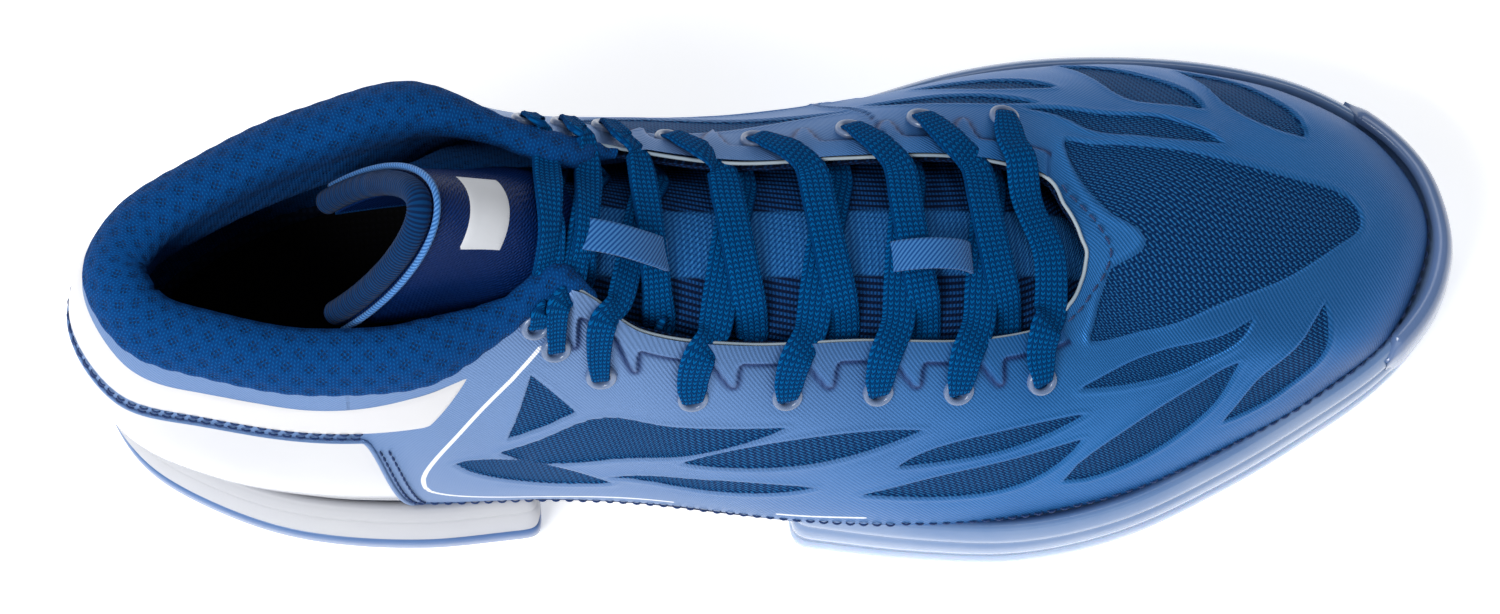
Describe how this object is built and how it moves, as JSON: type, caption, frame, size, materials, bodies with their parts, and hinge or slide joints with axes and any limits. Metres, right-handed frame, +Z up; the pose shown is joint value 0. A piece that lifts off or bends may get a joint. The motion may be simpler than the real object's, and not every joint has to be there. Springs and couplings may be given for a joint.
{
  "type": "basketball high top",
  "caption": "Right high-top basketball shoe with a film upper over knit, padded collar, folding tongue, flat lace, external heel counter and a split rubber sole",
  "frame": {"origin": "on the ground under the middle of the shoe, on the flat tread of the forefoot outsole", "axes": "+X to the toe, +Y to the inner (medial) side of the foot, +Z up"},
  "size_m": [0.2983, 0.1086, 0.1324],
  "materials": {
    "outsole_rubber": "semi-gloss",
    "sidewall_rubber": "gloss",
    "guard_rubber": "gloss",
    "foam_white": "satin",
    "shank": "satin",
    "board": "matte",
    "sockliner": "matte",
    "counter_gloss": "gloss",
    "stiffener": "matte",
    "film": "semi-gloss",
    "white_print": "satin",
    "mesh": "matte",
    "eyelet": "satin",
    "knit": "matte",
    "lining": "matte",
    "twill_blue": "satin",
    "satin_navy": "satin",
    "binding": "matte",
    "patch": "satin",
    "lace": "matte"
  },
  "bodies": {
    "shoe": {"outsole_heel": "outsole_rubber", "outsole_forefoot": "outsole_rubber", "sidewall_forefoot": "sidewall_rubber", "toe_guard": "guard_rubber", "midsole_heel": "foam_white", "midsole_forefoot": "foam_white", "shank_plate": "shank", "insole_board": "board", "heel_counter": "counter_gloss", "heel_stiffener": "stiffener", "toe_puff": "stiffener", "vamp": "film", "quarter_lateral": "film", "quarter_medial": "film", "heel_quarter": "film", "heel_band": "white_print", "mesh_liner": "mesh", "eyestay_lateral": "film", "eyestay_medial": "film", "eyelets_lateral": "eyelet", "eyelets_medial": "eyelet", "collar_foam": "knit", "collar_lining": "lining", "tongue_lower": "twill_blue", "tongue_loop_lower": "twill_blue", "tongue_loop_upper": "twill_blue", "lace_lateral": "lace", "lace_medial": "lace"},
    "tongue_flap": {"tongue_top": "satin_navy", "tongue_binding": "binding", "tongue_badge": "patch"},
    "footbed": {"sockliner": "sockliner"}
  },
  "joints": [
    {"name": "tongue_fold", "type": "hinge", "parent": "shoe", "child": "tongue_flap", "pos_m": [-0.058, 0.0007, 0.118], "axis": [0, 1, 0], "range_deg": [0, 18]},
    {"name": "sockliner_lift", "type": "hinge", "parent": "shoe", "child": "footbed", "pos_m": [0.131, 0, 0.0263], "axis": [0, 1, 0], "range_deg": [0, 5]}
  ]
}
